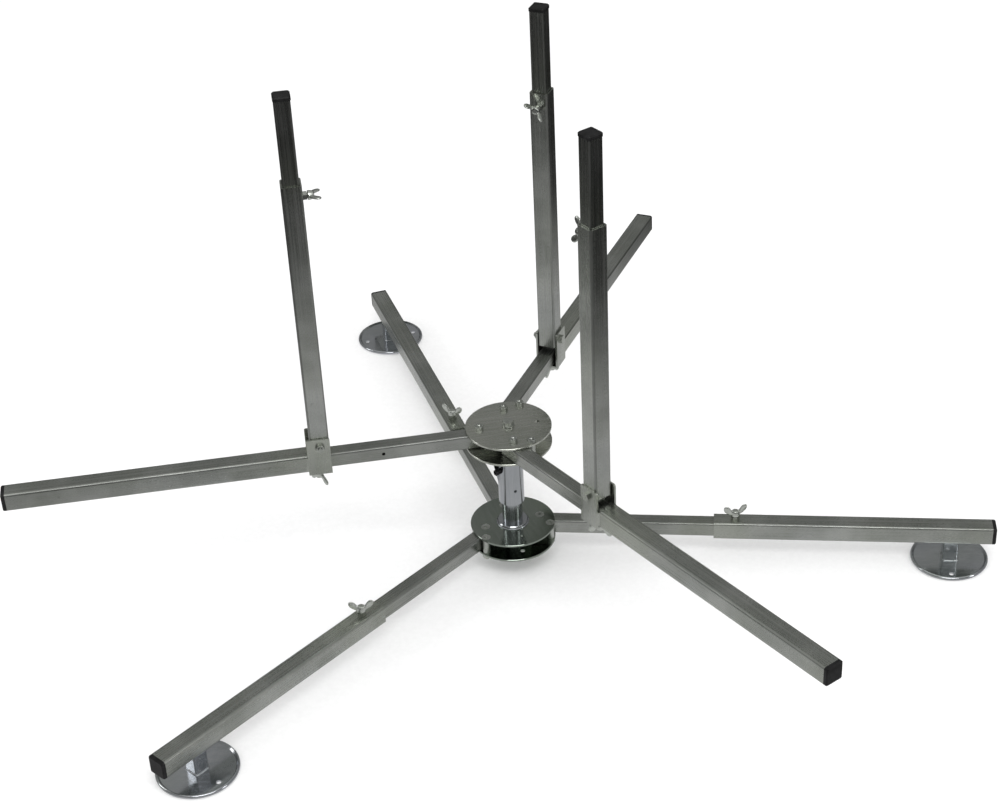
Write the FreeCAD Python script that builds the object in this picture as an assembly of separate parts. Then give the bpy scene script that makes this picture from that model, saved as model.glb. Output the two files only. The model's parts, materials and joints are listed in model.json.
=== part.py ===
"""A free-standing pipe decoiler of zinc-plated square steel tube.

A head with three telescopic arms turns on a short pillar, each arm carries a telescopic post that
folds down, and the pillar stands on three telescopic legs.  In both hubs one limb is fixed and the
other two fold in beside it.

The origin is the centre of the pillar's open lower mouth, on the axis that the head turns about,
and +Z is up.  A limb is drawn in its own frame: x runs outwards along the tube from the point that
is nearest to the turning axis, y is to its left, z is up and the tube is centred on the x axis.
"""
import FreeCAD, Part
from dataclasses import dataclass
import math
import os

Vector = FreeCAD.Vector
X_AXIS = Vector(1, 0, 0)
Y_AXIS = Vector(0, 1, 0)
Z_AXIS = Vector(0, 0, 1)
CENTRE = Vector(0, 0, 0)

# Square tube stock: outside width, wall and outside corner radius.
INNER_TUBE = 20.0
INNER_WALL = 1.5
INNER_CORNER = 2.5
OUTER_TUBE = 25.0
OUTER_WALL = 2.0
OUTER_CORNER = 3.0
OUTER_BORE = OUTER_TUBE - 2 * OUTER_WALL
INNER_BORE = INNER_TUBE - 2 * INNER_WALL

# M6 hardware, which nearly everything is bolted with.
BOLT = 3.0
HINGE_HOLE = BOLT + 0.06
CLEAR_HOLE = BOLT + 0.3
SCREW_HOLE = BOLT + 0.05
NUT_FLATS = 10.0
NUT_HEIGHT = 5.0
THREAD_END = 2.4
EDGE = 0.4

# Hubs: two round plates with the limbs' inner tubes between them.
PLATE_RADIUS = 56.0
PLATE = 3.0
PLATE_GAP = INNER_TUBE + 0.6
HUB_HEIGHT = 2 * PLATE + PLATE_GAP
LIMB_CIRCLE = 38.0
SPACER_CIRCLE = 50.0
SPACER_RADIUS = 5.0
STOP_BEARING = 116.5
SPARE_HOLE = 3.0
LIMB_OVERHANG = 12.0
FIXED_LIMB_START = 16.0

# Heights of the two hubs and of the limbs held in them.
LOWER_HUB = 0.0
UPPER_HUB = 152.5
LEG_LEVEL = LOWER_HUB + HUB_HEIGHT / 2
ARM_LEVEL = UPPER_HUB + HUB_HEIGHT / 2
FOOT_HEIGHT = 31.4

# Bearings of the fixed leg and the fixed arm, in degrees from +X.
FIXED_LEG_BEARING = 106.98
FIXED_ARM_BEARING = 187.86

# Pillar, fixed to the lower hub.
SHAFT_RADIUS = 13.45
SHAFT_BORE = 10.85
PLUG_SEAT = 11.1
SHAFT_TOP = 142.0
COLLAR_RADIUS = 20.5
COLLAR = 4.0
PLUG_LENGTH = 30.0
PLUG_FLANGE = 2.9
CENTRE_BOLT = 4.0
CENTRE_BOLT_DEPTH = 22.0
CENTRE_BOLT_FLATS = 13.0
CENTRE_BOLT_HEAD = 5.3
CENTRE_WASHER_RADIUS = 8.0
CENTRE_WASHER = 1.6
THRUST_WASHER_RADIUS = 13.0
TURNING_GAP = 0.3

# Sleeve that turns on the pillar, fixed under the upper hub.
TURN_SLEEVE_RADIUS = 16.85
TURN_SLEEVE_BORE = 14.25
TURN_SLEEVE_LOW = 62.4
BUSH_BORE = SHAFT_RADIUS + 0.075
BUSH_LENGTH = 12.0
UPPER_BUSH_LOW = 128.0
GREASE_HOLE = 2.0
GREASE_BEARING = 288.0
GREASE_HEIGHT = 85.0
GUSSET_BEARING = 195.0
GUSSET = 3.0
GUSSET_REACH = 28.0
GUSSET_HEIGHT = 60.0
BRAKE_BEARING = 217.0
BRAKE_HEIGHT = 115.0
BRAKE_HEAD_RADIUS = 4.0
BRAKE_HEAD = 8.0
BRAKE_TIP = SHAFT_RADIUS + 0.4

# Limbs: how far an inner tube reaches into its outer tube, and the clamping screws.
LIMB_OVERLAP = 130.0
LEG_SCREW_INSET = 28.0
CLAMP_GAP = 0.3
SIDE_HOLE = 2.2
SIDE_HOLE_X = 164.0

# Feet: a round disc with a rolled rim on a stem.
FOOT_RADIUS = 50.5
FOOT_INSET = 52.0
FOOT_SHEET = 2.5
FOOT_RIM = 4.7
FOOT_HOLE = 3.25
FOOT_HOLE_CIRCLE = 37.5

# Saddle on each arm that carries a post, measured from the post's axis and the arm's centre.
SADDLE_IN = 13.0
SADDLE_OUT = 17.0
SADDLE_TOP = 37.5
SADDLE_SHEET = 2.5
SADDLE_WIDTH = 25.7
SADDLE_SCREW_X = 4.0
SADDLE_PIVOT = 25.5
ARM_OUTER_SETBACK = 13.2
ARM_OUTER_LENGTH = 384.0

# Posts, measured up from the arm's centre.
POST_LOW = 17.0
POST_FOOT_RADIUS = 12.7
POST_OUTER_TOP = 391.3
POST_TOP = 504.8
POST_OVERLAP = 150.0
POST_SCREW_DROP = 18.0

# End caps.
CAP = 5.0
CAP_PLUG = 12.0
CAP_PLUG_WALL = 2.0
CAP_CHAMFER = 1.5
POST_CAP_OVERHANG = 0.7
CAP_CLEARANCE = 0.1

# Wing screws, measured along the screw from the face that they clamp through.
BOSS_LOW = NUT_HEIGHT + 0.6
BOSS_HIGH = 13.6
BOSS_BASE_RADIUS = 6.0
BOSS_TOP_RADIUS = 4.8
WING_THICKNESS = 3.0
WING_LOBE_RADIUS = 4.6
WING_LOBE_X = 11.3
WING_LOBE_Z = 17.0


@dataclass
class Limb:
    """One arm or leg, and where it leaves its hub."""

    name: str
    hub_bearing: float
    level: float
    side: int  # 0 for the fixed limb, 1 or -1 for the hub's left or right pivot bolt
    opening: float  # bearing at rest, from the hub's fixed limb
    screw_turn: float  # how far the wing screw is turned about its own axis
    reach: float  # a leg's outer tube starts here; an arm's post stands here
    outer_length: float = ARM_OUTER_LENGTH

    def bolt_x(self):
        """Where the hub's bolt passes through the limb."""
        return LIMB_CIRCLE * math.cos(math.radians(self.opening - 90 * self.side))

    def placement(self):
        """From the limb's own frame to the object's."""
        offset = LIMB_CIRCLE * math.sin(math.radians(90 * self.side - self.opening))
        turn = FreeCAD.Rotation(Z_AXIS, self.hub_bearing + self.opening)
        return FreeCAD.Placement(turn.multVec(Vector(0, offset, 0)) + Z_AXIS * self.level, turn)

    def inner_start(self):
        """The inner tube's end inside the hub."""
        return self.bolt_x() - LIMB_OVERHANG if self.side else FIXED_LIMB_START


LEGS = (
    Limb("leg_1", FIXED_LEG_BEARING, LEG_LEVEL, 1, 119.9, -36.9, 238.0, 362.0),
    Limb("leg_2", FIXED_LEG_BEARING, LEG_LEVEL, -1, -113.9, 12.0, 266.0, 362.0),
    Limb("leg_3", FIXED_LEG_BEARING, LEG_LEVEL, 0, 0.0, 40.0, 240.0, 420.0),
)
ARMS = (
    Limb("arm_1", FIXED_ARM_BEARING, ARM_LEVEL, 0, 0.0, 47.0, 244.0),
    Limb("arm_2", FIXED_ARM_BEARING, ARM_LEVEL, -1, -121.6, 20.0, 203.0),
    Limb("arm_3", FIXED_ARM_BEARING, ARM_LEVEL, 1, 118.0, -30.0, 201.0),
)
POST_SCREW_TURNS = (80.0, 45.0, 8.0)


def place(shape, placement):
    """The shape carried from its own frame by the placement."""
    moved = shape.copy()
    moved.Placement = placement.multiply(moved.Placement)
    return moved


def shifted(shape, x=0.0, y=0.0, z=0.0):
    return place(shape, FreeCAD.Placement(Vector(x, y, z), FreeCAD.Rotation()))


def turned(shape, axis, degrees):
    return place(shape, FreeCAD.Placement(CENTRE, FreeCAD.Rotation(axis, degrees)))


def polar(radius, bearing):
    """The x and y of a point on a circle about the turning axis."""
    return radius * math.cos(math.radians(bearing)), radius * math.sin(math.radians(bearing))


def cylinder(radius, low, high, x=0.0, y=0.0):
    return Part.makeCylinder(radius, high - low, Vector(x, y, low))


def ring(radius, bore, low, high):
    return cylinder(radius, low, high).cut(cylinder(bore, low - 1, high + 1))


def hexagon(flats, low, high):
    """A hexagonal prism about the z axis."""
    corner = flats / math.sqrt(3)
    corners = [Vector(*polar(corner, 60 * k), low) for k in range(7)]
    return Part.Face(Part.makePolygon(corners)).extrude(Z_AXIS * (high - low))


def nut(low):
    """A hexagonal nut with its upper corners turned off."""
    body = hexagon(NUT_FLATS, low, low + NUT_HEIGHT)
    corner = NUT_FLATS / math.sqrt(3)
    dome = Part.makeCone(corner + NUT_HEIGHT - 0.7, corner - 0.7, NUT_HEIGHT, Vector(0, 0, low))
    return body.common(dome).cut(cylinder(BOLT, low - 1, low + NUT_HEIGHT + 1))


def upright_bar(width, corner, low, high):
    """A solid square bar with rounded corners along the z axis."""
    box = Part.makeBox(width, width, high - low, Vector(-width / 2, -width / 2, low))
    long_edges = [edge for edge in box.Edges if abs(edge.tangentAt(0).z) > 0.99]
    return box.makeFillet(corner, long_edges)


def upright_tube(width, wall, corner, low, high):
    bore = upright_bar(width - 2 * wall, corner - wall, low - 1, high + 1)
    return upright_bar(width, corner, low, high).cut(bore)


def inner_tube(start, end):
    """Inner tube stock along the z axis."""
    return upright_tube(INNER_TUBE, INNER_WALL, INNER_CORNER, start, end)


def outer_tube(start, end):
    """Outer tube stock along the z axis."""
    return upright_tube(OUTER_TUBE, OUTER_WALL, OUTER_CORNER, start, end)


def lying(shape):
    """Turns what was drawn along z so that it runs along x."""
    return turned(shape, Y_AXIS, 90)


def end_cap(width, corner, bore):
    """A cap along the z axis, with z = 0 at the tube's end face."""
    flange = upright_bar(width, corner, 0, CAP)
    rim = [edge for edge in flange.Edges if edge.BoundBox.ZMin > CAP - 0.01]
    plug_width = bore - 2 * CAP_CLEARANCE
    plug = upright_tube(plug_width, CAP_PLUG_WALL, CAP_PLUG_WALL + 0.5, -CAP_PLUG, 0.5)
    return flange.makeChamfer(CAP_CHAMFER, rim).fuse(plug).removeSplitter()


def weld_nut():
    """The nut welded to a clamped face, with the face at z = 0."""
    return hexagon(NUT_FLATS, -0.5, NUT_HEIGHT)


def screw_drill(depth):
    """The threaded hole of a wing screw, through the weld nut and depth of wall."""
    return cylinder(SCREW_HOLE, -depth - 0.2, NUT_HEIGHT + 1)


def wing():
    """One wing of a wing screw, in the xz plane."""
    outline = [(0, BOSS_LOW + 1), (BOSS_BASE_RADIUS, BOSS_LOW + 1)]
    outline += [(WING_LOBE_X + 1.9, WING_LOBE_Z - 4.2), (WING_LOBE_X - 3.2, WING_LOBE_Z + 3.3)]
    outline += [(BOSS_TOP_RADIUS, BOSS_HIGH - 0.5), (0, BOSS_HIGH - 1), (0, BOSS_LOW + 1)]
    half = WING_THICKNESS / 2
    face = Part.Face(Part.makePolygon([Vector(x, -half, z) for x, z in outline]))
    lobe_foot = Vector(WING_LOBE_X, -half, WING_LOBE_Z)
    lobe = Part.makeCylinder(WING_LOBE_RADIUS, WING_THICKNESS, lobe_foot, Y_AXIS)
    return face.extrude(Y_AXIS * WING_THICKNESS).fuse(lobe)


def wing_screw(depth):
    """A wing screw whose tip lies depth below the face at z = 0."""
    boss = Part.makeCone(
        BOSS_BASE_RADIUS, BOSS_TOP_RADIUS, BOSS_HIGH - BOSS_LOW, Vector(0, 0, BOSS_LOW)
    )
    shank = cylinder(BOLT, -depth, BOSS_LOW + 1)
    return boss.multiFuse([shank, wing(), turned(wing(), Z_AXIS, 180)]).removeSplitter()


def leg_screw_placement(leg):
    spot = Vector(leg.reach + LEG_SCREW_INSET, 0, OUTER_TUBE / 2)
    return FreeCAD.Placement(spot, FreeCAD.Rotation())


def arm_screw_placement(arm):
    spot = Vector(arm.reach + SADDLE_SCREW_X, 0, -OUTER_TUBE / 2 - SADDLE_SHEET)
    return FreeCAD.Placement(spot, FreeCAD.Rotation(X_AXIS, 180))


def post_screw_placement(arm):
    spot = Vector(arm.reach - OUTER_TUBE / 2, 0, POST_OUTER_TOP - POST_SCREW_DROP)
    return FreeCAD.Placement(spot, FreeCAD.Rotation(Y_AXIS, -90))


def limb_inner_tube(limb, end):
    """The tube held in the hub, drilled for the hub's bolt."""
    tube = lying(inner_tube(limb.inner_start(), end))
    return tube.cut(cylinder(HINGE_HOLE, -INNER_TUBE, INNER_TUBE, limb.bolt_x()))


def leg_outer_tube(leg):
    tube = lying(outer_tube(leg.reach, leg.reach + leg.outer_length))
    spot = leg_screw_placement(leg)
    return tube.fuse(place(weld_nut(), spot)).cut(place(screw_drill(OUTER_WALL), spot))


def foot_disc():
    """The pressed disc with its rolled rim, z = 0 on the ground."""
    rim = FOOT_RIM / 2
    flat = FOOT_RADIUS - 2 * rim
    profile = [
        Part.LineSegment(CENTRE, Vector(FOOT_RADIUS - rim, 0, 0)),
        Part.Arc(
            Vector(FOOT_RADIUS - rim, 0, 0),
            Vector(FOOT_RADIUS, 0, rim),
            Vector(FOOT_RADIUS - rim, 0, FOOT_RIM),
        ),
        Part.LineSegment(Vector(FOOT_RADIUS - rim, 0, FOOT_RIM), Vector(flat, 0, FOOT_SHEET)),
        Part.LineSegment(Vector(flat, 0, FOOT_SHEET), Vector(0, 0, FOOT_SHEET)),
        Part.LineSegment(Vector(0, 0, FOOT_SHEET), CENTRE),
    ]
    wire = Part.Wire([line.toShape() for line in profile])
    return Part.Face(wire).revolve(CENTRE, Z_AXIS, 360)


def foot():
    """The disc and the stub of inner tube stock welded on it; its two holes lie across the leg."""
    body = foot_disc().fuse(inner_tube(FOOT_SHEET - 0.5, FOOT_HEIGHT))
    for turn in (90, -90):
        x, y = polar(FOOT_HOLE_CIRCLE, turn)
        body = body.cut(cylinder(FOOT_HOLE, -1, FOOT_RIM + 1, x, y))
    return body.removeSplitter()


def leg_parts(leg):
    """A leg's nodes in its own frame."""
    outer_end = leg.reach + leg.outer_length
    tip_depth = OUTER_WALL + (OUTER_BORE - INNER_TUBE) / 2 - CLAMP_GAP
    screw = turned(wing_screw(tip_depth), Z_AXIS, leg.screw_turn)
    cap = lying(end_cap(OUTER_TUBE, OUTER_CORNER, OUTER_BORE))
    return {
        "inner_tube": limb_inner_tube(leg, leg.reach + LIMB_OVERLAP),
        "outer_tube": leg_outer_tube(leg),
        "foot": shifted(foot(), outer_end - FOOT_INSET, 0, -OUTER_TUBE / 2 - FOOT_HEIGHT),
        "end_cap": shifted(cap, outer_end),
        "wing_screw": place(screw, leg_screw_placement(leg)),
    }


def arm_inner_tube(arm):
    """An arm's inner tube, with the small hole in its left side on the fixed arm."""
    tube = limb_inner_tube(arm, arm.reach + ARM_OUTER_SETBACK + LIMB_OVERLAP)
    if arm.side:
        return tube
    hole = Part.makeCylinder(SIDE_HOLE, INNER_TUBE, Vector(SIDE_HOLE_X, 0, 0), Y_AXIS)
    return tube.cut(hole)


def saddle():
    """The post's U-shaped saddle, about the post's axis, with its welds and weld nut."""
    length = SADDLE_IN + SADDLE_OUT
    low = -OUTER_TUBE / 2 - SADDLE_SHEET
    outside = SADDLE_WIDTH / 2 + SADDLE_SHEET
    block = Part.makeBox(length, 2 * outside, SADDLE_TOP - low, Vector(-SADDLE_IN, -outside, low))
    top_corners = [
        edge
        for edge in block.Edges
        if abs(edge.tangentAt(0).y) > 0.99 and edge.BoundBox.ZMin > SADDLE_TOP - 0.01
    ]
    block = block.makeFillet(SADDLE_SHEET, top_corners)
    slot_foot = Vector(-SADDLE_IN - 1, -SADDLE_WIDTH / 2, -OUTER_TUBE / 2)
    slot = Part.makeBox(length + 2, SADDLE_WIDTH, SADDLE_TOP + OUTER_TUBE, slot_foot)
    pivot = Part.makeCylinder(
        SCREW_HOLE, 2 * outside + 2, Vector(0, -outside - 1, SADDLE_PIVOT), Y_AXIS
    )
    body = block.cut(slot).cut(pivot)
    for side in (1, -1):
        body = body.fuse(saddle_weld(side, outside))
    spot = FreeCAD.Placement(Vector(SADDLE_SCREW_X, 0, low), FreeCAD.Rotation(X_AXIS, 180))
    return body.fuse(place(weld_nut(), spot)).cut(place(screw_drill(SADDLE_SHEET), spot))


def saddle_weld(side, outside):
    """The weld between one cheek's outer edge and the side of the outer tube."""
    tube_side = OUTER_TUBE / 2
    leg_length = outside - tube_side
    height = OUTER_TUBE - 2 * OUTER_CORNER
    low = -height / 2
    corners = [
        (ARM_OUTER_SETBACK + 0.5, tube_side),
        (SADDLE_OUT + leg_length, tube_side),
        (SADDLE_OUT, outside),
        (SADDLE_OUT - 1, SADDLE_WIDTH / 2 + 1),
        (ARM_OUTER_SETBACK + 0.5, SADDLE_WIDTH / 2 + 1),
        (ARM_OUTER_SETBACK + 0.5, tube_side),
    ]
    outline = Part.makePolygon([Vector(x, side * y, low) for x, y in corners])
    return Part.Face(outline).extrude(Z_AXIS * height)


def saddle_bolt():
    """The bolt that the post folds about, with its nut, about the post's axis."""
    outside = SADDLE_WIDTH / 2 + SADDLE_SHEET
    head = 4.0
    shank = cylinder(BOLT, -outside, outside + NUT_HEIGHT + THREAD_END)
    bolt = hexagon(NUT_FLATS, -outside - head, -outside).fuse(shank)
    pair = Part.makeCompound([bolt, nut(outside)])
    return shifted(turned(pair, X_AXIS, -90), 0, 0, SADDLE_PIVOT)


def arm_parts(arm):
    """An arm's nodes in its own frame."""
    outer_start = arm.reach + ARM_OUTER_SETBACK
    outer_end = outer_start + arm.outer_length
    tip_depth = SADDLE_SHEET + (OUTER_TUBE - INNER_TUBE) / 2 - CLAMP_GAP
    screw = turned(wing_screw(tip_depth), Z_AXIS, arm.screw_turn)
    cap = lying(end_cap(OUTER_TUBE, OUTER_CORNER, OUTER_BORE))
    return {
        "inner_tube": arm_inner_tube(arm),
        "outer_tube": lying(outer_tube(outer_start, outer_end)),
        "bracket": shifted(saddle(), arm.reach),
        "bracket_bolt": shifted(saddle_bolt(), arm.reach),
        "end_cap": shifted(cap, outer_end),
        "wing_screw": place(screw, arm_screw_placement(arm)),
    }


def post_foot_waste(arm):
    """What is cut from the outward side of a post's foot: all that lies beyond a circle about its pivot."""
    corner = Vector(arm.reach, -OUTER_TUBE, SADDLE_PIVOT - OUTER_TUBE)
    block = Part.makeBox(OUTER_TUBE, 2 * OUTER_TUBE, OUTER_TUBE, corner)
    pivot = Vector(arm.reach, -OUTER_TUBE - 1, SADDLE_PIVOT)
    return block.cut(Part.makeCylinder(POST_FOOT_RADIUS, 2 * OUTER_TUBE + 2, pivot, Y_AXIS))


def post_outer_tube(arm):
    """A post's outer tube, drilled for the saddle's bolt and with its weld nut."""
    tube = shifted(outer_tube(POST_LOW, POST_OUTER_TOP), arm.reach).cut(post_foot_waste(arm))
    hinge_foot = Vector(arm.reach, -OUTER_TUBE, SADDLE_PIVOT)
    tube = tube.cut(Part.makeCylinder(HINGE_HOLE, 2 * OUTER_TUBE, hinge_foot, Y_AXIS))
    spot = post_screw_placement(arm)
    return tube.fuse(place(weld_nut(), spot)).cut(place(screw_drill(OUTER_WALL), spot))


def post_parts(arm, screw_turn):
    """The nodes of an arm's post, in the arm's own frame."""
    tip_depth = OUTER_WALL + (OUTER_BORE - INNER_TUBE) / 2 - CLAMP_GAP
    screw = turned(wing_screw(tip_depth), Z_AXIS, screw_turn)
    tube_top = POST_TOP - CAP
    width = INNER_TUBE + 2 * POST_CAP_OVERHANG
    cap = end_cap(width, INNER_CORNER + POST_CAP_OVERHANG, INNER_BORE)
    return {
        "outer_tube": post_outer_tube(arm),
        "inner_tube": shifted(inner_tube(POST_OUTER_TOP - POST_OVERLAP, tube_top), arm.reach),
        "end_cap": shifted(cap, arm.reach, 0, tube_top),
        "wing_screw": place(screw, post_screw_placement(arm)),
    }


def limb_bolt_spots(bearing):
    return [polar(LIMB_CIRCLE, bearing + turn) for turn in (0, 90, -90)]


def spacer_spots(bearing):
    return [polar(SPACER_CIRCLE, bearing + turn) for turn in (STOP_BEARING, -STOP_BEARING)]


def bolt_spots(bearing):
    return limb_bolt_spots(bearing) + spacer_spots(bearing)


def hub_plate(low, bearing, bore):
    """One plate of a hub, drilled for its bolts and with one hole to spare."""
    disc = cylinder(PLATE_RADIUS, low, low + PLATE)
    rims = [edge for edge in disc.Edges if edge.Length > PLATE_RADIUS]
    plate = disc.makeChamfer(EDGE, rims).cut(cylinder(bore, low - 1, low + PLATE + 1))
    for x, y in bolt_spots(bearing):
        plate = plate.cut(cylinder(CLEAR_HOLE, low - 1, low + PLATE + 1, x, y))
    x, y = polar(LIMB_CIRCLE, bearing + 180)
    return plate.cut(cylinder(SPARE_HOLE, low - 1, low + PLATE + 1, x, y))


def countersunk(plate, low, bearing):
    """The plate with a countersink at the top of each bolt hole."""
    for x, y in bolt_spots(bearing):
        sink = Part.makeCone(BOLT + 0.1, BOLT + PLATE + 0.1, PLATE, Vector(x, y, low))
        plate = plate.cut(sink)
    return plate


def spacers(low, bearing):
    tube = ring(SPACER_RADIUS, CLEAR_HOLE, low, low + PLATE_GAP)
    return Part.makeCompound([shifted(tube, x, y) for x, y in spacer_spots(bearing)])


def socket(low, high):
    """The hexagonal recess of a socket head."""
    return hexagon(4.0, low, high)


def countersunk_bolt():
    """A bolt of the lower hub: flush head on top and its nut below."""
    top = LOWER_HUB + HUB_HEIGHT
    head = Part.makeCone(BOLT, BOLT + PLATE, PLATE, Vector(0, 0, top - PLATE))
    shank = cylinder(BOLT, LOWER_HUB - NUT_HEIGHT - THREAD_END, top - PLATE + 0.5)
    return head.fuse(shank).cut(socket(top - 2.2, top + 1)).removeSplitter()


def button_bolt():
    """A bolt of the upper hub: rounded head below and its nut on top."""
    head_radius = 5.25
    head_height = 3.3
    head = cylinder(head_radius, UPPER_HUB - head_height, UPPER_HUB)
    rim = [edge for edge in head.Edges if edge.BoundBox.ZMax < UPPER_HUB - head_height + 0.01]
    end = UPPER_HUB + HUB_HEIGHT + NUT_HEIGHT + THREAD_END
    shank = cylinder(BOLT, UPPER_HUB - 0.5, end)
    tip = [edge for edge in shank.Edges if edge.BoundBox.ZMin > end - 0.01]
    body = head.makeFillet(2.0, rim).fuse(shank.makeChamfer(0.8, tip))
    return body.cut(socket(UPPER_HUB - head_height - 1, UPPER_HUB - 1.3)).removeSplitter()


def fasteners(bolt, nut_shape, bearing):
    """A bolt and a nut at each bolt hole of a hub."""
    pieces = []
    for x, y in bolt_spots(bearing):
        pieces += [shifted(bolt, x, y), shifted(nut_shape, x, y)]
    return Part.makeCompound(pieces)


def lower_nut():
    """A nut that hangs under the lower hub."""
    return turned(nut(0.0), X_AXIS, 180)


def shaft():
    """The pillar's tube and the collar that it is welded into."""
    tube = cylinder(SHAFT_RADIUS, LOWER_HUB, SHAFT_TOP)
    hub_top = LOWER_HUB + HUB_HEIGHT
    collar = cylinder(COLLAR_RADIUS, hub_top, hub_top + COLLAR)
    rim = [edge for edge in collar.Edges if edge.BoundBox.ZMin > hub_top + COLLAR - 0.01]
    body = tube.fuse(collar.makeChamfer(1.2, rim))
    body = body.cut(cylinder(SHAFT_BORE, LOWER_HUB - 1, SHAFT_TOP + 1))
    return body.cut(cylinder(PLUG_SEAT, SHAFT_TOP - PLUG_LENGTH, SHAFT_TOP + 1))


def shaft_plug():
    """The plug in the pillar's top, threaded for the centre bolt."""
    top = SHAFT_TOP + PLUG_FLANGE
    body = cylinder(PLUG_SEAT, SHAFT_TOP - PLUG_LENGTH, SHAFT_TOP)
    body = body.fuse(cylinder(SHAFT_RADIUS, SHAFT_TOP, top))
    return body.cut(cylinder(CENTRE_BOLT, top - CENTRE_BOLT_DEPTH - 2, top + 1))


def thrust_washer():
    low = SHAFT_TOP + PLUG_FLANGE
    return ring(THRUST_WASHER_RADIUS, CENTRE_BOLT + 0.3, low, UPPER_HUB - TURNING_GAP)


def centre_bolt():
    """The bolt and washer that keep the head on the pillar."""
    washer_low = UPPER_HUB + HUB_HEIGHT + TURNING_GAP
    head_low = washer_low + CENTRE_WASHER
    washer = ring(CENTRE_WASHER_RADIUS, CENTRE_BOLT, washer_low, head_low)
    shank_low = SHAFT_TOP + PLUG_FLANGE - CENTRE_BOLT_DEPTH
    head = hexagon(CENTRE_BOLT_FLATS, head_low, head_low + CENTRE_BOLT_HEAD)
    corner = CENTRE_BOLT_FLATS / math.sqrt(3)
    dome = Part.makeCone(
        corner - 0.9 + CENTRE_BOLT_HEAD, corner - 0.9, CENTRE_BOLT_HEAD, Vector(0, 0, head_low)
    )
    bolt = head.common(dome).fuse(cylinder(CENTRE_BOLT, shank_low, head_low))
    return Part.makeCompound([bolt, washer])


def gusset():
    """The triangular rib between the sleeve and the plate above it."""
    inside = TURN_SLEEVE_RADIUS - 1
    corners = [
        Vector(inside, -GUSSET / 2, UPPER_HUB),
        Vector(GUSSET_REACH, -GUSSET / 2, UPPER_HUB),
        Vector(TURN_SLEEVE_RADIUS, -GUSSET / 2, UPPER_HUB - GUSSET_HEIGHT),
        Vector(inside, -GUSSET / 2, UPPER_HUB - GUSSET_HEIGHT),
        Vector(inside, -GUSSET / 2, UPPER_HUB),
    ]
    rib = Part.Face(Part.makePolygon(corners)).extrude(Y_AXIS * GUSSET)
    return turned(rib, Z_AXIS, GUSSET_BEARING)


def radial_hole(radius, bearing, height):
    """A drill through one side of the sleeve."""
    drill = Part.makeCylinder(radius, 2 * TURN_SLEEVE_RADIUS, Vector(0, 0, height), X_AXIS)
    return turned(drill, Z_AXIS, bearing)


def turning_sleeve():
    body = cylinder(TURN_SLEEVE_RADIUS, TURN_SLEEVE_LOW, UPPER_HUB).fuse(gusset())
    body = body.cut(cylinder(TURN_SLEEVE_BORE, TURN_SLEEVE_LOW - 1, UPPER_HUB + 1))
    body = body.cut(radial_hole(GREASE_HOLE, GREASE_BEARING, GREASE_HEIGHT))
    return body.cut(radial_hole(SCREW_HOLE, BRAKE_BEARING, BRAKE_HEIGHT))


def sleeve_bushes():
    lows = (TURN_SLEEVE_LOW, UPPER_BUSH_LOW)
    return Part.makeCompound(
        [ring(TURN_SLEEVE_BORE, BUSH_BORE, low, low + BUSH_LENGTH) for low in lows]
    )


def brake_screw():
    """The screw through the sleeve that holds the head still."""
    head_start = TURN_SLEEVE_RADIUS + 0.35
    shank = cylinder(BOLT, BRAKE_TIP, head_start + 1)
    head = cylinder(BRAKE_HEAD_RADIUS, head_start, head_start + BRAKE_HEAD)
    rim = [edge for edge in head.Edges if edge.BoundBox.ZMin > head_start + BRAKE_HEAD - 0.01]
    body = head.makeChamfer(0.6, rim).fuse(shank)
    body = body.cut(socket(head_start + BRAKE_HEAD - 3, head_start + BRAKE_HEAD + 1))
    return shifted(turned(lying(body), Z_AXIS, BRAKE_BEARING), 0, 0, BRAKE_HEIGHT)


def base_parts():
    """What stays still: the lower hub and the pillar."""
    top_low = LOWER_HUB + PLATE + PLATE_GAP
    top_plate = hub_plate(top_low, FIXED_LEG_BEARING, SHAFT_RADIUS)
    return {
        "lower_hub_bottom_plate": hub_plate(LOWER_HUB, FIXED_LEG_BEARING, SHAFT_RADIUS),
        "lower_hub_top_plate": countersunk(top_plate, top_low, FIXED_LEG_BEARING),
        "lower_hub_spacers": spacers(LOWER_HUB + PLATE, FIXED_LEG_BEARING),
        "lower_hub_fasteners": fasteners(countersunk_bolt(), lower_nut(), FIXED_LEG_BEARING),
        "shaft": shaft(),
        "shaft_plug": shaft_plug(),
        "thrust_washer": thrust_washer(),
        "centre_bolt": centre_bolt(),
    }


def head_parts():
    """What turns: the upper hub and the sleeve below it."""
    top_low = UPPER_HUB + PLATE + PLATE_GAP
    bore = CENTRE_BOLT + 0.3
    upper_nut = nut(UPPER_HUB + HUB_HEIGHT)
    return {
        "upper_hub_bottom_plate": hub_plate(UPPER_HUB, FIXED_ARM_BEARING, bore),
        "upper_hub_top_plate": hub_plate(top_low, FIXED_ARM_BEARING, bore),
        "upper_hub_spacers": spacers(UPPER_HUB + PLATE, FIXED_ARM_BEARING),
        "upper_hub_fasteners": fasteners(button_bolt(), upper_nut, FIXED_ARM_BEARING),
        "turning_sleeve": turning_sleeve(),
        "sleeve_bushes": sleeve_bushes(),
        "brake_screw": brake_screw(),
    }


def all_parts():
    """Every node of the object by name, in the object's frame."""
    parts = {**base_parts(), **head_parts()}
    for leg in LEGS:
        for name, shape in leg_parts(leg).items():
            parts[f"{leg.name}_{name}"] = place(shape, leg.placement())
    for arm, screw_turn in zip(ARMS, POST_SCREW_TURNS):
        for name, shape in arm_parts(arm).items():
            parts[f"{arm.name}_{name}"] = place(shape, arm.placement())
        post_name = arm.name.replace("arm", "post")
        for name, shape in post_parts(arm, screw_turn).items():
            parts[f"{post_name}_{name}"] = place(shape, arm.placement())
    return parts


os.makedirs("parts", exist_ok=True)
for node, solid in all_parts().items():
    solid.exportStep(f"parts/{node}.step")
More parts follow.
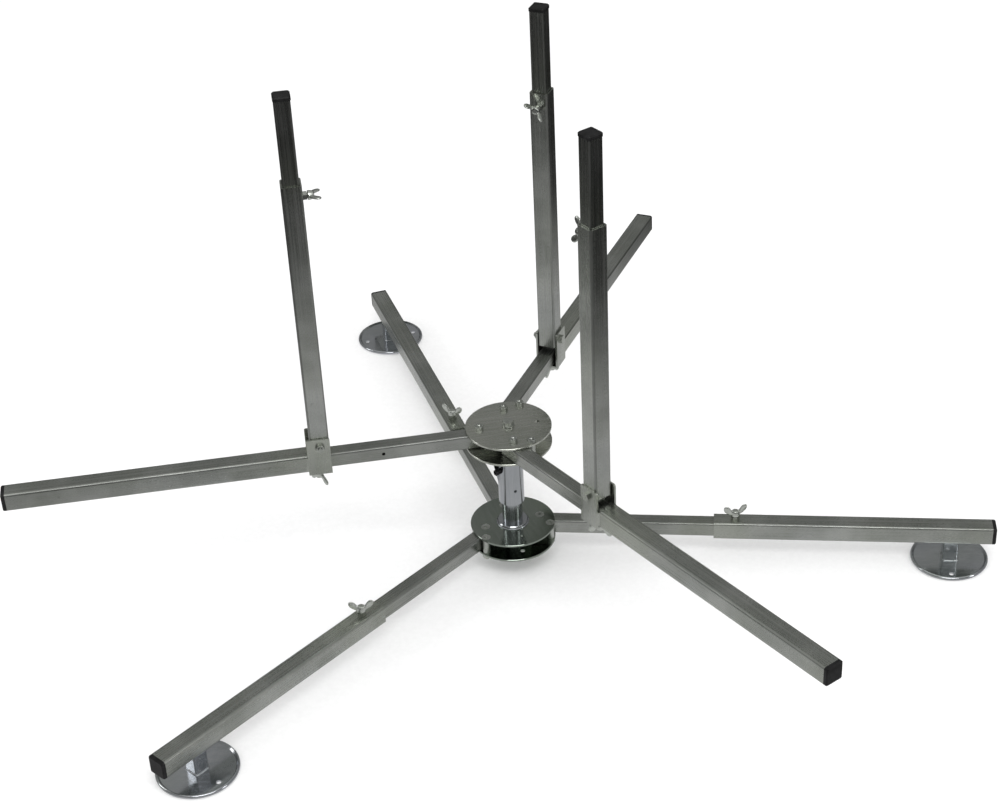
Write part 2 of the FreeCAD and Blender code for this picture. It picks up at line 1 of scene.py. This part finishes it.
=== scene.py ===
"""The looks of the pipe decoiler: its metal and plastic, its cast wing screws and welds, and the plain
studio that it stands in.  Every length is in metres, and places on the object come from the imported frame."""
import bpy
import json
import math
from mathutils import Matrix, Vector


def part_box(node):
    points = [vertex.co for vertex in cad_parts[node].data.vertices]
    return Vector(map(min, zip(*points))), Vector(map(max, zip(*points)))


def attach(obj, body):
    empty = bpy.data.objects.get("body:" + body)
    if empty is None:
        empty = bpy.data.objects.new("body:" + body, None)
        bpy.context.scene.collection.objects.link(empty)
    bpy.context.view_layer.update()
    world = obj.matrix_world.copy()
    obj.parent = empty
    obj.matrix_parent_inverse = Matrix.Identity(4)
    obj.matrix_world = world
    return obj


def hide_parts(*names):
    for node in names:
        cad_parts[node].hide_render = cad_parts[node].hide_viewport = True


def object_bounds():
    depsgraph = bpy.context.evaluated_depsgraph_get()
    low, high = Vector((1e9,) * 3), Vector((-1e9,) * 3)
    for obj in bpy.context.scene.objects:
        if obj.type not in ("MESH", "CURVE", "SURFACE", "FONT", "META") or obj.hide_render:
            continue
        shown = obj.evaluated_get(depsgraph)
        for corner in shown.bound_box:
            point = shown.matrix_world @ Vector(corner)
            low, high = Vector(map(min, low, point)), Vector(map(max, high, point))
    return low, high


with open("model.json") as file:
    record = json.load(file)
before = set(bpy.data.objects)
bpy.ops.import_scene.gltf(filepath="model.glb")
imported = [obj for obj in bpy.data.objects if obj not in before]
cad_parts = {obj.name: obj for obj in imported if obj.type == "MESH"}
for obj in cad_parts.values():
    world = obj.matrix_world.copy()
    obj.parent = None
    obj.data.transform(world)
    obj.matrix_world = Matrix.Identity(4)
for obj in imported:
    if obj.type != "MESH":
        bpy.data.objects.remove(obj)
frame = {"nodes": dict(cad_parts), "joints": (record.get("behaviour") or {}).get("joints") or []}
cad_low, cad_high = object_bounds()
joints = {joint["name"]: joint for joint in frame["joints"]}

LEGS = ("leg_1", "leg_2", "leg_3")
ARMS = ("arm_1", "arm_2", "arm_3")
POSTS = ("post_1", "post_2", "post_3")

# Half the width of the outer and inner square tubes, the corner radius that the darker corner bands and welds
# follow, and the thickness of a foot's sheet.
OUTER_HALF = 0.0125
INNER_HALF = 0.0100
CORNER = 0.0030
FOOT_SHEET = 0.0025

# Wing screws: how far the shank reaches in from the clamped face, on an arm's bracket and elsewhere.
ARM_SHANK_DEPTH = 0.0047
SHANK_DEPTH = 0.0022
SHANK_RADIUS = 0.0029
SHANK_TIP_RADIUS = 0.0024
SHANK_BEVEL = 0.0006
SHANK_TOP = 0.0070
BOSS_PROFILE = (
    (0.0030, 0.0056), (0.0054, 0.0057), (0.0060, 0.0064), (0.0058, 0.0085),
    (0.0050, 0.0122), (0.0043, 0.0134), (0.0030, 0.0138),
)
# A wing from root to tip: distance out, height, half width and half thickness of each section.
WING_SPINE = (
    (0.0000, 0.0092, 0.0030, 0.0022), (0.0035, 0.0096, 0.0034, 0.0020),
    (0.0065, 0.0112, 0.0036, 0.0017), (0.0090, 0.0134, 0.0041, 0.0015),
    (0.0108, 0.0156, 0.0045, 0.0015), (0.0124, 0.0180, 0.0041, 0.0015),
    (0.0134, 0.0199, 0.0030, 0.0013), (0.0139, 0.0210, 0.0015, 0.0008),
)
WING_SIDES = 16
CAST_VOXEL = 0.00042

# Weld beads: points along a path, sides of the section, puddles that the scales show, and the radii.
BEAD_POINTS = 96
BEAD_SIDES = 10
BEAD_PUDDLES = 22
FOOT_BEAD_RADIUS = 0.0013
PILLAR_BEAD_RADIUS = 0.0012

# The camera's place, its pitch below level and its roll in degrees, and its lens and sensor in millimetres.
CAMERA_PLACE = (-0.00915, -2.15692, 1.61342)
CAMERA_PITCH = 32.982
CAMERA_ROLL = -2.886
LENS = 72.315
SENSOR = 36.0

# The floor's half width, and the painted glow that reflections see on it: where it fades, and how bright it
# is.
FLOOR_HALF = 30.0
POOL_INNER, POOL_OUTER = 0.45, 1.15
POOL_GLOW, FAR_GLOW = 0.62, 0.03
# The studio that metal sees: brightness by the Z of the direction, from level at 0 to straight up at 1.
STUDIO_LEVELS = ((0.0, 0.05), (0.25, 0.14), (0.50, 0.26), (0.62, 0.24), (0.85, 0.45), (1.0, 0.6))
LIGHTS_AIM = (0, 0, 0.15)

# How far green and blue stand above red in zinc with a yellowish and with a bluish passivation.
OLIVE = (0.03, -0.03)
BLUISH = (0.03, 0.10)


# ---------------------------------------------------------------- material tools
class Finish:
    """A procedural material, built node by node around its Principled shader."""

    def __init__(self, name, **constants):
        self.material = bpy.data.materials.new(name)
        self.material.use_nodes = True
        self.tree = self.material.node_tree
        self.shader = self.tree.nodes["Principled BSDF"]
        for socket, value in constants.items():
            self.shader.inputs[socket.replace("_", " ")].default_value = value

    def node(self, kind, settings=None, **inputs):
        """Adds a node and returns it; inputs are sockets by name, as values or as links."""
        made = self.tree.nodes.new(kind)
        for key, value in (settings or {}).items():
            setattr(made, key, value)
        for key, value in inputs.items():
            self.feed(made.inputs[key.replace("_", " ")], value)
        return made

    def feed(self, socket, value):
        if isinstance(value, bpy.types.NodeSocket):
            self.tree.links.new(value, socket)
        else:
            socket.default_value = value

    def math(self, operation, *values):
        made = self.tree.nodes.new("ShaderNodeMath")
        made.operation = operation
        for socket, value in zip(made.inputs, values):
            self.feed(socket, value)
        return made.outputs[0]

    def place(self, turn=0.0, shift=(0, 0, 0)):
        """Coordinates in the object's frame, turned about Z by -turn and then shifted."""
        coordinates = self.tree.nodes.new("ShaderNodeTexCoord").outputs["Object"]
        made = self.node("ShaderNodeMapping", Vector=coordinates, Rotation=(0, 0, -turn))
        made.inputs["Location"].default_value = shift
        return made.outputs[0]

    def stretched(self, vector, scale):
        return self.node("ShaderNodeMapping", Vector=vector, Scale=scale).outputs[0]

    def noise(self, vector, scale=1.0, detail=4.0, roughness=0.6):
        made = self.node("ShaderNodeTexNoise", Vector=vector, Scale=scale, Detail=detail)
        made.inputs["Roughness"].default_value = roughness
        return made.outputs["Fac"]

    def spread(self, value, low, high, to_low=0.0, to_high=1.0):
        """Maps low..high of a value to to_low..to_high, smoothly and clamped."""
        made = self.node("ShaderNodeMapRange", {"interpolation_type": "SMOOTHSTEP"}, Value=value)
        for socket, number in zip(made.inputs[1:5], (low, high, to_low, to_high)):
            self.feed(socket, number)
        return made.outputs[0]

    def mixed(self, factor, first, second):
        made = self.node("ShaderNodeMix", {"data_type": "RGBA"})
        for socket, value in zip((made.inputs[0], made.inputs[6], made.inputs[7]), (factor, first, second)):
            self.feed(socket, value)
        return made.outputs[2]

    def relief(self, *layers):
        """Bump from (height, depth in metres) layers."""
        normal = None
        for height, depth in layers:
            bump = self.node("ShaderNodeBump", Height=height, Distance=depth, Strength=1.0)
            if normal is not None:
                self.feed(bump.inputs["Normal"], normal)
            normal = bump.outputs[0]
        self.feed(self.shader.inputs["Normal"], normal)

    def finish(self, colour, roughness):
        self.feed(self.shader.inputs["Base Color"], colour)
        self.feed(self.shader.inputs["Roughness"], roughness)
        return self.material


def grey(level, green=0.0, blue=0.0):
    """A near-neutral colour."""
    return (level, level * (1 + green), level * (1 + blue), 1.0)


def square_edges(finish, local, half, upright):
    """1 on the rounded corners of a square tube centred on its own axis, 0 on its faces."""
    parts = finish.node("ShaderNodeSeparateXYZ", Vector=local)
    first = finish.math("ABSOLUTE", parts.outputs["X" if upright else "Z"])
    second = finish.math("ABSOLUTE", parts.outputs["Y"])
    nearer = finish.math("MINIMUM", first, second)
    return finish.spread(nearer, half - CORNER, half - CORNER * 0.4)


def zinc(name, level, roughness, local_of, streak_scale, edge=None, contrast=1.0, grain=0.000012, tint=OLIVE):
    """Bright zinc plating over rolled steel: drawn streaks, cloudy passivation, specks and scuffs.
    The tint is how far green and blue stand above red."""
    green, blue = tint
    finish = Finish(name, Metallic=1.0, IOR=2.2)
    local = local_of(finish)
    streaks = finish.noise(finish.stretched(local, streak_scale), detail=6.0, roughness=0.7)
    fine = finish.noise(local, scale=1400.0, detail=3.0, roughness=0.7)
    cloud = finish.noise(local, scale=13.0, detail=3.0, roughness=0.55)
    hue = finish.noise(local, scale=6.0, detail=2.0, roughness=0.5)
    stains = finish.spread(finish.noise(local, scale=55.0, detail=6.0, roughness=0.75), 0.60, 0.74)
    finer = finish.stretched(local, [5.5 * s for s in streak_scale])
    scuffs = finish.spread(finish.noise(finer, detail=2.0), 0.66, 0.78)
    dark = grey(level * (1 - 0.20 * contrast), green + 0.02, blue - 0.01)
    light = grey(level * (1 + 0.16 * contrast), green, blue)
    colour = finish.mixed(finish.spread(cloud, 0.35, 0.66), dark, light)
    drawn = finish.spread(streaks, 0.38, 0.68, 0.0, 0.45)
    colour = finish.mixed(drawn, colour, grey(level * 1.22, green * 0.5, blue * 0.5))
    yellowed = finish.spread(hue, 0.5, 0.72, 0.0, 0.45)
    colour = finish.mixed(yellowed, colour, grey(level, green + 0.04, blue - 0.10))
    blued = finish.spread(hue, 0.28, 0.46, 0.40, 0.0)
    colour = finish.mixed(blued, colour, grey(level, green, blue + 0.09))
    colour = finish.mixed(finish.math("MULTIPLY", stains, 0.35), colour, grey(level * 0.55, 0.02, -0.04))
    colour = finish.mixed(finish.math("MULTIPLY", scuffs, 0.30), colour, grey(min(level * 1.7, 0.9)))
    rough = finish.math("ADD", finish.spread(streaks, 0.3, 0.7, -0.05, 0.07), roughness)
    rough = finish.math("ADD", rough, finish.spread(fine, 0.35, 0.65, -0.03, 0.04))
    rough = finish.math("ADD", rough, finish.math("MULTIPLY", stains, 0.14))
    # Darker colour and more roughness along the rounded corners, broken up by the streaks.
    if edge is not None:
        darker_corner_mask = finish.math("MULTIPLY", edge(finish, local), finish.spread(streaks, 0.32, 0.6, 0.35, 1.0))
        colour = finish.mixed(finish.math("MULTIPLY", darker_corner_mask, 0.5), colour, grey(level * 0.62, 0.02, -0.02))
        rough = finish.math("ADD", rough, finish.math("MULTIPLY", darker_corner_mask, 0.16))
    finish.relief((fine, grain), (streaks, grain * 0.8), (cloud, 0.00012))
    return finish.finish(colour, rough)


# ---------------------------------------------------------------- where the limbs lie
def limb_bearing(limb):
    x, y, _ = joints[f"{limb}_slide"]["axis"]
    return math.atan2(y, x)


def limb_level(limb):
    low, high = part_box(f"{limb}_inner_tube")
    return (low.z + high.z) / 2


def limb_frame(limb):
    """Builds coordinates with x along the limb and its centre line at y = z = 0."""
    bearing = limb_bearing(limb)
    x, y, _ = joints[f"{limb}_screw_turn"]["pos_m"]
    offset = y * math.cos(bearing) - x * math.sin(bearing)
    return lambda finish: finish.place(bearing, (0, -offset, -limb_level(limb)))


def post_frame(arm):
    """Builds coordinates with the post's axis at x = y = 0."""
    bearing = limb_bearing(arm)
    x, y, _ = joints[arm.replace("arm", "post") + "_fold"]["pos_m"]
    along = x * math.cos(bearing) + y * math.sin(bearing)
    across = y * math.cos(bearing) - x * math.sin(bearing)
    return lambda finish: finish.place(bearing, (-along, -across, 0))


def hub_frame(limb):
    bearing = limb_bearing(limb)
    return lambda finish: finish.place(bearing)


def edges_of(half, upright=False):
    return lambda finish, local: square_edges(finish, local, half, upright)


LENGTHWISE = (5.0, 420.0, 420.0)
UPWARDS = (420.0, 420.0, 5.0)
ROLLED = (25.0, 380.0, 60.0)
EVEN = (60.0, 60.0, 60.0)


# ---------------------------------------------------------------- other materials
def black_plastic():
    """Moulded black polyethylene with a fine spark-eroded grain and pale scuffs."""
    finish = Finish("black_cap_plastic", IOR=1.5, Specular_IOR_Level=0.22)
    local = finish.place()
    grain = finish.noise(local, scale=2600.0, detail=2.0)
    blotch = finish.noise(local, scale=90.0, detail=5.0, roughness=0.7)
    scuffs = finish.spread(blotch, 0.58, 0.72)
    colour = finish.mixed(finish.spread(blotch, 0.35, 0.65), grey(0.006), grey(0.013, 0.0, 0.05))
    colour = finish.mixed(finish.math("MULTIPLY", scuffs, 0.2), colour, grey(0.04))
    moulded = finish.spread(grain, 0.3, 0.7, 0.42, 0.55)
    rough = finish.math("ADD", moulded, finish.math("MULTIPLY", scuffs, 0.12))
    finish.relief((grain, 0.00003), (blotch, 0.00005))
    return finish.finish(colour, rough)


def black_oxide():
    """Blackened steel with an oily sheen that wears to grey."""
    finish = Finish("black_oxide_steel", Metallic=1.0)
    local = finish.place()
    cloud = finish.noise(local, scale=260.0, detail=5.0)
    fine = finish.noise(local, scale=2400.0, detail=2.0)
    colour = finish.mixed(finish.spread(cloud, 0.4, 0.7), grey(0.02), grey(0.06, 0.0, 0.1))
    finish.relief((fine, 0.00002))
    return finish.finish(colour, finish.spread(cloud, 0.3, 0.7, 0.32, 0.5))


def nylon():
    """Natural nylon with faint turning marks."""
    finish = Finish("natural_nylon", IOR=1.53, Subsurface_Weight=0.1)
    local = finish.place()
    turning = finish.noise(finish.stretched(local, (20.0, 20.0, 2200.0)), detail=2.0)
    cloud = finish.noise(local, scale=120.0, detail=3.0)
    colour = finish.mixed(finish.spread(cloud, 0.35, 0.65), (0.70, 0.68, 0.60, 1), (0.80, 0.79, 0.73, 1))
    finish.relief((turning, 0.00002))
    return finish.finish(colour, finish.spread(turning, 0.3, 0.7, 0.35, 0.5))


def plain_frame(finish):
    return finish.place()


def paint(node, material):
    """Gives a CAD node its material."""
    slots = frame["nodes"][node].data.materials
    slots.clear()
    slots.append(material)


def paint_tubes():
    for limb in LEGS + ARMS:
        for part, level, half in (("outer", 0.39, OUTER_HALF), ("inner", 0.33, INNER_HALF)):
            name = f"{limb}_{part}_tube"
            paint(name, zinc(name + "_zinc", level, 0.27, limb_frame(limb), LENGTHWISE, edges_of(half)))
    for arm, post in zip(ARMS, POSTS):
        for part, level, half in (("outer", 0.41, OUTER_HALF), ("inner", 0.33, INNER_HALF)):
            name = f"{post}_{part}_tube"
            edge = edges_of(half, upright=True)
            paint(name, zinc(name + "_zinc", level, 0.25, post_frame(arm), UPWARDS, edge))


def paint_rest():
    upper = zinc("upper_hub_zinc", 0.50, 0.24, hub_frame("arm_1"), ROLLED, contrast=0.5, tint=(0.02, -0.07))
    lower = zinc("lower_hub_zinc", 0.29, 0.12, hub_frame("leg_3"), ROLLED, contrast=0.5, tint=(0.12, -0.01))
    foot = zinc("foot_zinc", 0.52, 0.13, plain_frame, (70.0, 260.0, 90.0), contrast=0.7, tint=BLUISH)
    pillar = zinc("pillar_zinc", 0.44, 0.16, plain_frame, (300.0, 300.0, 9.0), contrast=0.6, tint=BLUISH)
    bright = zinc("hardware_zinc", 0.46, 0.30, plain_frame, EVEN, contrast=0.9)
    plastic = black_plastic()
    for hub, material in (("upper_hub", upper), ("lower_hub", lower)):
        paint(f"{hub}_top_plate", material)
        paint(f"{hub}_bottom_plate", material)
        paint(f"{hub}_spacers", bright)
        paint(f"{hub}_fasteners", bright)
    for node in ("shaft", "shaft_plug", "turning_sleeve"):
        paint(node, pillar)
    for node in ("thrust_washer", "centre_bolt"):
        paint(node, bright)
    paint("sleeve_bushes", nylon())
    paint("brake_screw", black_oxide())
    for limb in LEGS + ARMS + POSTS:
        paint(f"{limb}_end_cap", plastic)
    for leg in LEGS:
        paint(f"{leg}_foot", foot)
    for arm in ARMS:
        material = zinc(f"{arm}_bracket_zinc", 0.42, 0.26, limb_frame(arm), (120.0, 120.0, 12.0))
        paint(f"{arm}_bracket", material)
        paint(f"{arm}_bracket_bolt", bright)


# ---------------------------------------------------------------- meshes
def mesh_object(name, points, faces, smooth=True):
    mesh = bpy.data.meshes.new(name)
    mesh.from_pydata([tuple(point) for point in points], [], faces)
    mesh.validate()
    mesh.update()
    for polygon in mesh.polygons:
        polygon.use_smooth = smooth
    made = bpy.data.objects.new(name, mesh)
    bpy.context.scene.collection.objects.link(made)
    return made


def loft(rings):
    """Points and faces of a closed skin over rings of equally many points."""
    count = len(rings[0])
    points = [point for ring in rings for point in ring]
    faces = []
    for level in range(len(rings) - 1):
        for k in range(count):
            after = (k + 1) % count
            low, high = level * count, (level + 1) * count
            faces.append((low + k, low + after, high + after, high + k))
    faces.append(tuple(reversed(range(count))))
    faces.append(tuple(range((len(rings) - 1) * count, len(rings) * count)))
    return points, faces


def turned_skin(profile, sides=32):
    """A lathe skin about z from (radius, height) pairs, low to high."""
    rings = []
    for radius, height in profile:
        angles = [2 * math.pi * k / sides for k in range(sides)]
        rings.append([Vector((radius * math.cos(a), radius * math.sin(a), height)) for a in angles])
    return loft(rings)


def joined(*skins):
    points, faces = [], []
    for more_points, more_faces in skins:
        start = len(points)
        points += more_points
        faces += [tuple(start + k for k in face) for face in more_faces]
    return points, faces


def wing_skin(side):
    """One wing: flattened oval sections along a spine that leaves the boss and rises outwards."""
    rings = []
    for k, (x, z, half_width, half_thickness) in enumerate(WING_SPINE):
        x_before, z_before = WING_SPINE[max(k - 1, 0)][:2]
        x_after, z_after = WING_SPINE[min(k + 1, len(WING_SPINE) - 1)][:2]
        run = Vector((x_after - x_before, 0, z_after - z_before)).normalized()
        across = Vector((-run.z, 0, run.x))
        ring = []
        for step in range(WING_SIDES):
            angle = 2 * math.pi * step / WING_SIDES
            point = Vector((x, 0, z)) + across * (half_width * math.cos(angle))
            point.y = half_thickness * math.sin(angle)
            point.x *= side
            ring.append(point)
        rings.append(ring if side > 0 else list(reversed(ring)))
    return loft(rings)


def cast_wing_screw(depth, name):
    """The master of one size of wing screw, drawn along z with z = 0 on the clamped face."""
    boss = turned_skin(BOSS_PROFILE)
    shank = turned_skin(
        [(SHANK_TIP_RADIUS, -depth), (SHANK_RADIUS, -depth + SHANK_BEVEL), (SHANK_RADIUS, SHANK_TOP)]
    )
    draft = mesh_object(name, *joined(boss, shank, wing_skin(1), wing_skin(-1)))
    remesh = draft.modifiers.new("cast", "REMESH")
    remesh.mode = "VOXEL"
    remesh.voxel_size = CAST_VOXEL
    smooth = draft.modifiers.new("soften", "SMOOTH")
    smooth.factor = 0.6
    smooth.iterations = 6
    graph = bpy.context.evaluated_depsgraph_get()
    mesh = bpy.data.meshes.new_from_object(draft.evaluated_get(graph))
    bpy.data.objects.remove(draft)
    for polygon in mesh.polygons:
        polygon.use_smooth = True
    return mesh


def screw_matrix(joint, node):
    """From a wing screw's own frame to its place, with the wings spread as the CAD node has them."""
    foot = Vector(joint["pos_m"])
    axis = Vector(joint["axis"]).normalized()
    span = Vector((0, 0, 0))
    for vertex in frame["nodes"][node].data.vertices:
        arm = vertex.co - foot
        arm -= axis * arm.dot(axis)
        if arm.length > span.length:
            span = arm
    span.normalize()
    return Matrix((span, axis.cross(span), axis)).transposed().to_4x4(), foot


def wing_screws():
    cast = zinc("wing_screw_zinc", 0.62, 0.27, plain_frame, EVEN, grain=0.00004)
    meshes = {}
    for limb in LEGS + ARMS + POSTS:
        node = f"{limb}_wing_screw"
        joint = joints[f"{limb}_screw_turn"]
        depth = ARM_SHANK_DEPTH if limb in ARMS else SHANK_DEPTH
        if depth not in meshes:
            meshes[depth] = cast_wing_screw(depth, f"cast_screw_{len(meshes)}")
            meshes[depth].materials.append(cast)
        piece = bpy.data.objects.new(f"{limb}_cast_wing_screw", meshes[depth])
        bpy.context.scene.collection.objects.link(piece)
        matrix, foot = screw_matrix(joint, node)
        piece.matrix_world = Matrix.Translation(foot) @ matrix
        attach(piece, joint["child"])
        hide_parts(node)


# ---------------------------------------------------------------- welds
def ring_path(centre, radius):
    angles = [2 * math.pi * k / BEAD_POINTS for k in range(BEAD_POINTS)]
    return [centre + Vector((radius * math.cos(a), radius * math.sin(a), 0)) for a in angles]


def square_path(centre, half, corner, turn, count=12):
    """A rounded square about a centre, turned about Z."""
    points = []
    for quarter in range(4):
        for k in range(count):
            angle = math.pi / 2 * (quarter + k / (count - 1))
            direction = Vector((math.cos(angle), math.sin(angle), 0))
            middle = math.pi / 2 * quarter + math.pi / 4
            inset = Vector((math.cos(middle), math.sin(middle), 0)) * (half - corner) * math.sqrt(2)
            points.append(inset + direction * corner)
    return [centre + Matrix.Rotation(turn, 3, "Z") @ point for point in resampled(points, BEAD_POINTS)]


def resampled(points, count):
    """Evenly spaced points along a closed path."""
    ends = points[1:] + points[:1]
    lengths = [(end - start).length for start, end in zip(points, ends)]
    step = sum(lengths) / count
    made, leg, passed = [], 0, 0.0
    for k in range(count):
        while passed + lengths[leg] < k * step:
            passed += lengths[leg]
            leg += 1
        share = (k * step - passed) / lengths[leg]
        made.append(points[leg].lerp(ends[leg], share))
    return made


def bead(name, path, radius, material, body):
    """A weld bead: a lumpy tube along a closed path, with the overlapping scales of its puddles."""
    centre = sum(path, Vector((0, 0, 0))) / len(path)
    count = len(path)
    points, faces = [], []
    for k, point in enumerate(path):
        outward = (point - centre).normalized()
        scale = 0.86 + 0.22 * abs(math.sin(k * math.pi * BEAD_PUDDLES / count)) + 0.06 * math.sin(k * 0.7)
        for side in range(BEAD_SIDES):
            angle = 2 * math.pi * side / BEAD_SIDES
            push = outward * math.cos(angle) + Vector((0, 0, 1)) * math.sin(angle)
            points.append(point + push * radius * scale)
    for k in range(count):
        for side in range(BEAD_SIDES):
            here, there = k * BEAD_SIDES, (k + 1) % count * BEAD_SIDES
            after = (side + 1) % BEAD_SIDES
            faces.append((here + side, there + side, there + after, here + after))
    piece = mesh_object(name, points, faces)
    piece.data.materials.append(material)
    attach(piece, body)


def weld_beads():
    weld = zinc("weld_zinc", 0.50, 0.30, plain_frame, EVEN, grain=0.00005, tint=BLUISH)
    for leg in LEGS:
        low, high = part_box(f"{leg}_foot")
        middle = Vector(((low.x + high.x) / 2, (low.y + high.y) / 2, 0))
        turn = limb_bearing(leg)
        for end, height in (("lower", low.z + FOOT_SHEET), ("upper", high.z)):
            path = square_path(middle + Vector((0, 0, height)), INNER_HALF, CORNER, turn)
            bead(f"{leg}_foot_{end}_weld", path, FOOT_BEAD_RADIUS, weld, f"{leg}_outer")
    sleeve_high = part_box("turning_sleeve")[1]
    top = Vector((0, 0, sleeve_high.z))
    bead("sleeve_weld", ring_path(top, sleeve_high.x), PILLAR_BEAD_RADIUS, weld, "head")
    shaft_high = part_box("shaft")[1]
    hub_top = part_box("lower_hub_top_plate")[1].z
    collar = ring_path(Vector((0, 0, hub_top)), shaft_high.x)
    bead("collar_weld", collar, PILLAR_BEAD_RADIUS, weld, "base")


# ---------------------------------------------------------------- stage, lights and camera
def make_camera():
    """The photograph's viewpoint: a long lens 2.7 m from the origin, pitched 33 degrees below level and
    rolled by three degrees."""
    camera = bpy.data.cameras.new("camera")
    camera.lens = LENS
    camera.sensor_width = SENSOR
    camera.clip_start = 0.05
    camera.clip_end = 60.0
    made = bpy.data.objects.new("camera", camera)
    bpy.context.scene.collection.objects.link(made)
    pitch, roll = math.radians(CAMERA_PITCH), math.radians(CAMERA_ROLL)
    back = Vector((0, -math.cos(pitch), math.sin(pitch)))
    level = Vector((1, 0, 0))
    upright = Vector((0, math.sin(pitch), math.cos(pitch)))
    right = level * math.cos(roll) + upright * math.sin(roll)
    up = upright * math.cos(roll) - level * math.sin(roll)
    facing = Matrix((right, up, back)).transposed().to_4x4()
    made.matrix_world = Matrix.Translation(CAMERA_PLACE) @ facing
    bpy.context.scene.camera = made


def make_floor():
    """A pale floor with a painted pool of light round the object, which glows for reflections only."""
    half, low = FLOOR_HALF, cad_low.z
    corners = [(-half, -half, low), (half, -half, low), (half, half, low), (-half, half, low)]
    floor = mesh_object("floor", corners, [(0, 1, 2, 3)])
    finish = Finish("pale_floor", Specular_IOR_Level=0.0)
    local = finish.place()
    distance = finish.node("ShaderNodeVectorMath", {"operation": "LENGTH"})
    finish.feed(distance.inputs[0], local)
    # Painted light: the floor emits a pool of light that only glossy rays see, brightest near the object.
    glow = finish.spread(distance.outputs["Value"], POOL_INNER, POOL_OUTER, POOL_GLOW, FAR_GLOW)
    glossy = finish.tree.nodes.new("ShaderNodeLightPath").outputs["Is Glossy Ray"]
    painted_pool_glow = finish.node("ShaderNodeEmission", Strength=glow)
    paper = finish.noise(local, scale=180.0, detail=3.0)
    colour = finish.mixed(finish.spread(paper, 0.3, 0.7), grey(0.90), grey(0.93))
    finish.finish(colour, 0.9)
    blend = finish.tree.nodes.new("ShaderNodeMixShader")
    finish.feed(blend.inputs[0], glossy)
    finish.feed(blend.inputs[1], finish.shader.outputs[0])
    finish.feed(blend.inputs[2], painted_pool_glow.outputs[0])
    finish.feed(finish.tree.nodes["Material Output"].inputs["Surface"], blend.outputs[0])
    floor.data.materials.append(finish.material)


def make_world():
    """Soft white light from all round, with a dim studio for polished metal to reflect."""
    world = bpy.data.worlds.new("studio")
    bpy.context.scene.world = world
    world.use_nodes = True
    tree = world.node_tree
    tree.nodes.clear()
    direction = tree.nodes.new("ShaderNodeTexCoord").outputs["Generated"]
    height = tree.nodes.new("ShaderNodeSeparateXYZ")
    tree.links.new(direction, height.inputs[0])
    ramp = tree.nodes.new("ShaderNodeValToRGB")
    tree.links.new(height.outputs["Z"], ramp.inputs[0])
    for k, (position, level) in enumerate(STUDIO_LEVELS):
        stop = ramp.color_ramp.elements[k] if k < 2 else ramp.color_ramp.elements.new(position)
        stop.position = position
        stop.color = (level, level * 1.01, level * 0.99, 1)
    studio = tree.nodes.new("ShaderNodeBackground")
    tree.links.new(ramp.outputs[0], studio.inputs[0])
    daylight = tree.nodes.new("ShaderNodeBackground")
    daylight.inputs[0].default_value = (1, 1, 1, 1)
    daylight.inputs[1].default_value = 1.0
    blend = tree.nodes.new("ShaderNodeMixShader")
    glossy = tree.nodes.new("ShaderNodeLightPath").outputs["Is Glossy Ray"]
    output = tree.nodes.new("ShaderNodeOutputWorld")
    tree.links.new(glossy, blend.inputs[0])
    tree.links.new(daylight.outputs[0], blend.inputs[1])
    tree.links.new(studio.outputs[0], blend.inputs[2])
    tree.links.new(blend.outputs[0], output.inputs[0])


def softbox(name, place, size, power):
    light = bpy.data.lights.new(name, "AREA")
    light.shape = "RECTANGLE"
    light.size, light.size_y = size
    light.energy = power
    made = bpy.data.objects.new(name, light)
    bpy.context.scene.collection.objects.link(made)
    aim = Vector(LIGHTS_AIM) - Vector(place)
    made.matrix_world = Matrix.Translation(place) @ aim.to_track_quat("-Z", "Y").to_matrix().to_4x4()


def make_lights():
    softbox("overhead_front", (0.3, -2.2, 3.4), (2.6, 1.2), 46.0)
    softbox("side_right", (3.2, -1.6, 1.6), (0.5, 1.6), 16.0)
    softbox("side_left", (-3.4, 0.4, 1.9), (0.7, 1.8), 14.0)


bpy.context.scene.view_settings.view_transform = "Standard"
make_camera()
paint_tubes()
paint_rest()
wing_screws()
weld_beads()
make_floor()
make_world()
make_lights()
